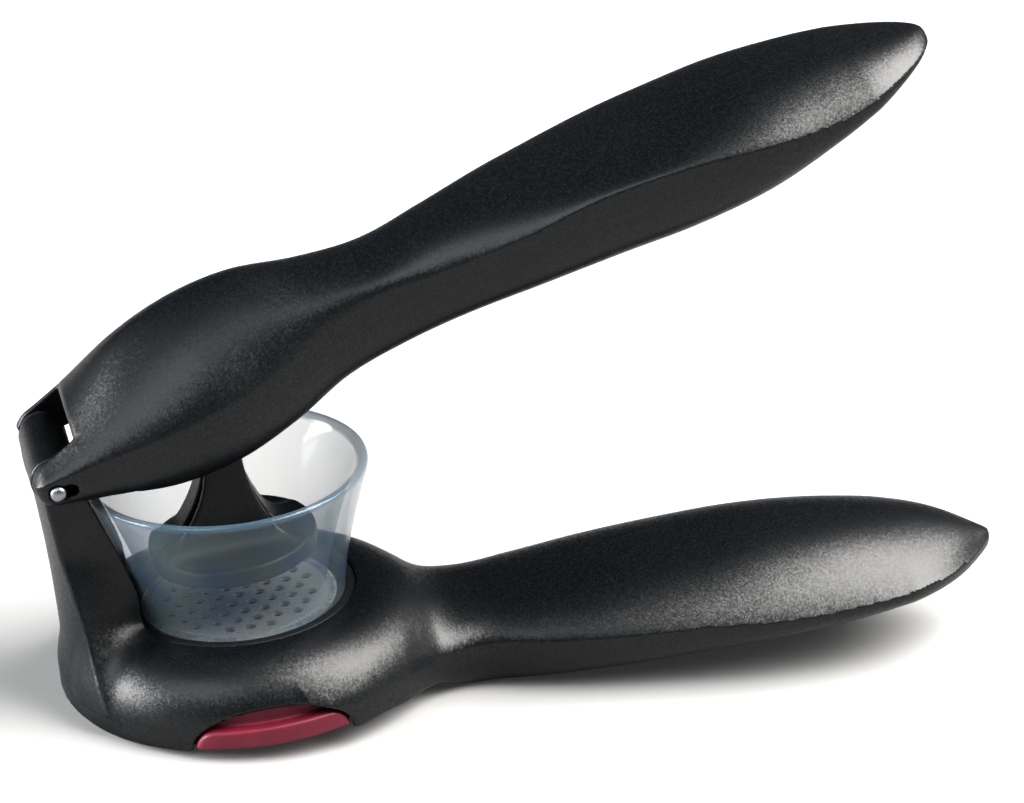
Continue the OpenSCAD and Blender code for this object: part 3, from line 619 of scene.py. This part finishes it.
def piston_field(a, y, w):
    """Piston, w up from its pivot: a round head, and a stem whose half width is 3.6 + 7.6 s^2 and whose middle
    leans back by 2 s^2, s the share of the way from 14 mm below the pivot down to the head; a groove parts its
    front plate from the block behind."""
    flare_len = DROP - HEAD_T - FLARE_FROM
    s = np.clip((-w - FLARE_FROM) / flare_len, 0, 1)
    grow = 2 * STEM_FLARE * s / flare_len
    wide = (np.abs(a + STEM_LEAN * s ** 2) - STEM_HALF - STEM_FLARE * s ** 2) / np.sqrt(1 + grow ** 2)
    stem = both(wide, np.abs(y - STEM_MID_Y) - STEM_HALF_T, 0.9)
    groove = both(np.abs(y + 3.3) - 1.3, -wide - 1.7, 0.4)
    stem = cut(stem, groove, 0.4)
    stem = np.maximum(np.maximum(stem, w), -DROP + 1 - w)
    eye = both(np.sqrt(a * a + w * w) - PISTON_EYE_R, np.abs(y) - PISTON_EYE_HALF, 0.4)
    r = np.sqrt(a * a + y * y)
    head = both(r - HEAD_R, np.abs(w + DROP - HEAD_T / 2) - HEAD_T / 2, 0.9)
    f = join(join(stem, eye, 2.0), head, 5.0)
    f = both(f, both(r - HEAD_R, -DROP - w, 0.9), 0.4)
    return cut(f, np.sqrt(a * a + w * w) - PISTON_BORE_R, EDGE)


p, q, n = skin_of(piston_field, steps(-17, 17, CELL), steps(-17, 17, CELL), steps(-37, 6, CELL))
c, s = math.cos(PISTON_TILT), math.sin(PISTON_TILT)
turn = np.array([[c, 0, -s], [0, 1, 0], [s, 0, c]])
piece("piston_casting", p @ turn.T + PIVOT, q, "piston", "enamel", n @ turn.T, ("plunger",))


# ---------------------------------------------------------------- hopper
WALL, PISTON_ROOM_R, LEG_FOOT, LEG_T = 2.4, 16.5, 6.5, 1.45
LEG_HALF_ANGLE, LEG_ROOT, HOOK_OUT, HOOK_H = math.radians(30), 0.6, 0.7, 1.4


def hopper_in(z):
    """Hopper's inner radius: the outer less the wall, drawn in along a straight line to 16.5 mm at the seat."""
    down = np.clip((HOPPER_TOP - z) / (HOPPER_TOP - SEAT_Z), 0, 1)
    return hopper_r(z) - WALL - (FOOT_R - WALL - PISTON_ROOM_R) * down


def hopper_field(x, y, z):
    """Cup between two flared walls with a half-round rim, and two snap legs that hook under the seat."""
    r = np.sqrt(x * x + y * y)
    cup = both(r - hopper_r(z), both(hopper_in(z) - r, z - HOPPER_TOP, 2.0), 2.0)
    cup = both(cup, SEAT_Z - z, 0.4)
    reach = (np.abs(y) - np.abs(x) * math.tan(LEG_HALF_ANGLE)) * math.cos(LEG_HALF_ANGLE)
    low = LEG_FOOT - z
    leg = both(both(r - FOOT_R + 0.1, FOOT_R - LEG_T - r, 0.4), both(low, reach, 0.5), 0.4)
    leg = np.maximum(leg, z - SEAT_Z - LEG_ROOT)
    ledge = both(r - FOOT_R - HOOK_OUT, FOOT_R - LEG_T + 0.4 - r, 0.4)
    hook = both(ledge, both(both(low, z - LEG_FOOT - HOOK_H, 0.5), reach, 0.4), 0.4)
    return join(cup, join(leg, hook, 0.5), 0.5)


p, q, n = skin_of(hopper_field, steps(-28, 28, CELL), steps(-28, 28, CELL), steps(5, 42, CELL))
piece("clear_hopper", p, q, "base", "clear_plastic", n, ("hopper_cup",))


SEAL_MID_R, SEAL_HALF_W, SEAL_MID_Z, SEAL_HALF_T = 21.2, 0.93, 13.95, 0.4
SEAL_CELL, SEAL_CELL_Z = 0.3, 0.2


def seal_field(x, y, z):
    """Flat ring with rounded edges in the groove round the hopper's foot."""
    across = np.abs(np.sqrt(x * x + y * y) - SEAL_MID_R) - SEAL_HALF_W
    return both(across, np.abs(z - SEAL_MID_Z) - SEAL_HALF_T, EDGE)


p, q, n = skin_of(seal_field, steps(-23, 23, SEAL_CELL), steps(-23, 23, SEAL_CELL), steps(13, 15, SEAL_CELL_Z))
piece("foot_seal", p, q, "base", "black_rubber", n, ("cup_seal",))


# ---------------------------------------------------------------- scraper
TAB_HALF_W, TAB_H, TAB_IN_R, TAB_OUT_R, LIP_R, LIP_TOP = 14.2, 6.8, 27.6, 33.0, 35.5, 3.9
RAIL_X, RAIL_Z, RAIL_HALF, RAIL_FROM, RAIL_TO = 9.0, 3.2, 1.4, -28.1, 17.2
BAR_HALF_W, BAR_Y, BAR_HALF_T, BAR_Z, BAR_HALF_H = 13.0, 18.6, 1.4, 5.0, 3.2
TAB_CELL = 0.4


def scraper_field(x, y, z):
    """Crimson tab that fills the arch in the ring, a lip proud of it, and two rails to a cross bar."""
    r = np.sqrt(x * x + y * y)
    oval = (np.sqrt((x / TAB_HALF_W) ** 2 + (np.maximum(z, 0) / TAB_H) ** 2) - 1) * TAB_H
    arch = both(oval, np.maximum(y, 0.2 - z), 0.4)
    wall = both(arch, both(TAB_IN_R - r, r - TAB_OUT_R, 0.4), 0.4)
    lip = both(arch, both(TAB_IN_R - r, both(r - LIP_R, z - LIP_TOP - 0.012 * x, 0.9), 0.4), 0.7)
    bars = both(np.abs(np.abs(x) - RAIL_X) - RAIL_HALF, np.abs(z - RAIL_Z) - RAIL_HALF, 0.4)
    rail = both(bars, both(RAIL_FROM - y, y - RAIL_TO, 0.4), 0.4)
    bar = both(np.abs(x) - BAR_HALF_W, np.abs(y - BAR_Y) - BAR_HALF_T, 0.4)
    bar = both(bar, np.abs(z - BAR_Z) - BAR_HALF_H, 0.4)
    return join(join(wall, lip, 0.8), join(rail, bar, 0.8), 0.8)


p, q, n = skin_of(scraper_field, steps(-16, 16, TAB_CELL), steps(-37, 22, TAB_CELL), steps(-1, 9.4, TAB_CELL))
piece("crimson_scraper", p, q, "scraper", "red_plastic", n, ("scraper_frame",))


# ---------------------------------------------------------------- turned pieces
def turned(profile, count=72):
    """Profile of (radius, height) points turned round the z axis; it starts and ends on the axis, and the points
    there are shared. Returns points and triangles."""
    profile = np.asarray(profile, float)
    rows = len(profile)
    angle = np.arange(count) * 2 * np.pi / count
    grid = np.stack([profile[:, :1] * np.cos(angle), profile[:, :1] * np.sin(angle),
                     np.repeat(profile[:, 1:], count, 1)], 2).reshape(-1, 3)
    index = np.arange(rows * count).reshape(rows, count)
    index[profile[:, 0] < 1e-9] = index[profile[:, 0] < 1e-9][:, :1]
    a, b = index[:-1], index[1:]
    a2, b2 = np.roll(a, -1, 1), np.roll(b, -1, 1)
    tris = np.concatenate([np.stack(t, 2).reshape(-1, 3) for t in ((a, a2, b2), (a, b2, b))])
    keep = (tris[:, 0] != tris[:, 1]) & (tris[:, 1] != tris[:, 2]) & (tris[:, 0] != tris[:, 2])
    used, tris = np.unique(tris[keep], return_inverse=True)
    return grid[used], tris.reshape(-1, 3)


# Hinge pin: a plain shank with a riveted dome at each end, radius 1.5 sin t and height 0.9 cos t.
DOME_FROM, DOME_R, DOME_H, SHANK_HALF = 16.35, 1.5, 0.9, 15.9
lean = np.radians(np.arange(0, 91, 7.5))
dome = [(DOME_R * math.sin(t), DOME_FROM + DOME_H * math.cos(t)) for t in lean]
tip = dome[0][1]
shank = [(PIN_R, -SHANK_HALF), (PIN_R, SHANK_HALF)]
p, q = turned([(0, -tip)] + [(r, -h) for r, h in dome[1:]] + shank + dome[:0:-1] + [(0, tip)])
p = np.stack([p[:, 0] + PIN_X, -p[:, 2], p[:, 1] + PIN_Z], 1)
piece("riveted_pin", p, q, "lever", "steel", None, ("hinge_pin",))
